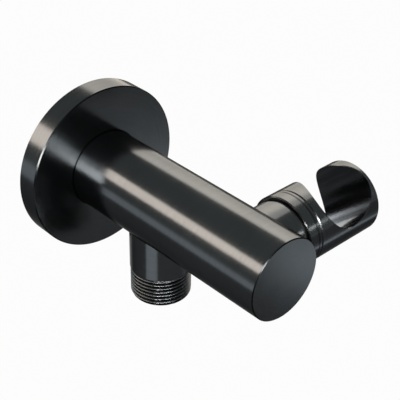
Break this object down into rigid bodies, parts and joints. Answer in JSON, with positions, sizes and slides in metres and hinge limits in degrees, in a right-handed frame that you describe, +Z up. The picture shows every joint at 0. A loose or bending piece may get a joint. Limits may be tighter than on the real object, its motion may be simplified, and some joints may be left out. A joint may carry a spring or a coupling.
{
  "type": "wall outlet elbow",
  "caption": "Round wall outlet elbow for a shower hose, with a threaded outlet under its arm and a swivelling handset cradle at the side.",
  "frame": {"origin": "centre of the escutcheon's back face, on the wall plane, where the wall thread's shoulder lies", "axes": "+Z up, +Y into the wall along the wall thread, the arm runs towards -Y, the handset holder stands out towards +X"},
  "size_m": [0.0803, 0.108, 0.0657],
  "materials": {
    "gunmetal": "fine brushed dark gunmetal coat",
    "brass": "turned, uncoated",
    "steel": "plain stainless steel",
    "rubber": "matt black",
    "valve_plastic": "white acetal",
    "washer_plastic": "black filled acetal"
  },
  "bodies": {
    "mount": {"arm": "gunmetal", "escutcheon": "gunmetal", "escutcheon_o_ring": "rubber", "wall_seal": "rubber", "wall_nipple": "brass", "rear_o_ring": "rubber", "front_o_ring": "rubber", "grub_screw": "steel", "outlet_stub": "gunmetal", "valve_housing": "valve_plastic", "valve_o_ring": "rubber", "valve_cage": "valve_plastic", "valve_spring": "steel", "neck": "gunmetal", "pivot_screw": "steel", "rear_friction_washer": "washer_plastic", "front_friction_washer": "washer_plastic", "disc_spring": "steel"},
    "holder": {"holder_collar": "gunmetal", "holder_cradle": "gunmetal"},
    "poppet": {"valve_poppet": "valve_plastic", "poppet_seal": "rubber"}
  },
  "joints": [
    {"name": "holder_swivel", "type": "hinge", "parent": "mount", "child": "holder", "pos_m": [0.0179, -0.0757, 0], "axis": [1, 0, 0], "continuous": true},
    {"name": "poppet_slide", "type": "slide", "parent": "mount", "child": "poppet", "axis": [0, 0, -1], "range_m": [0, 0.0025], "stiffness_N_per_m": 120, "springref_m": -0.002, "deforming": ["valve_spring"]}
  ]
}
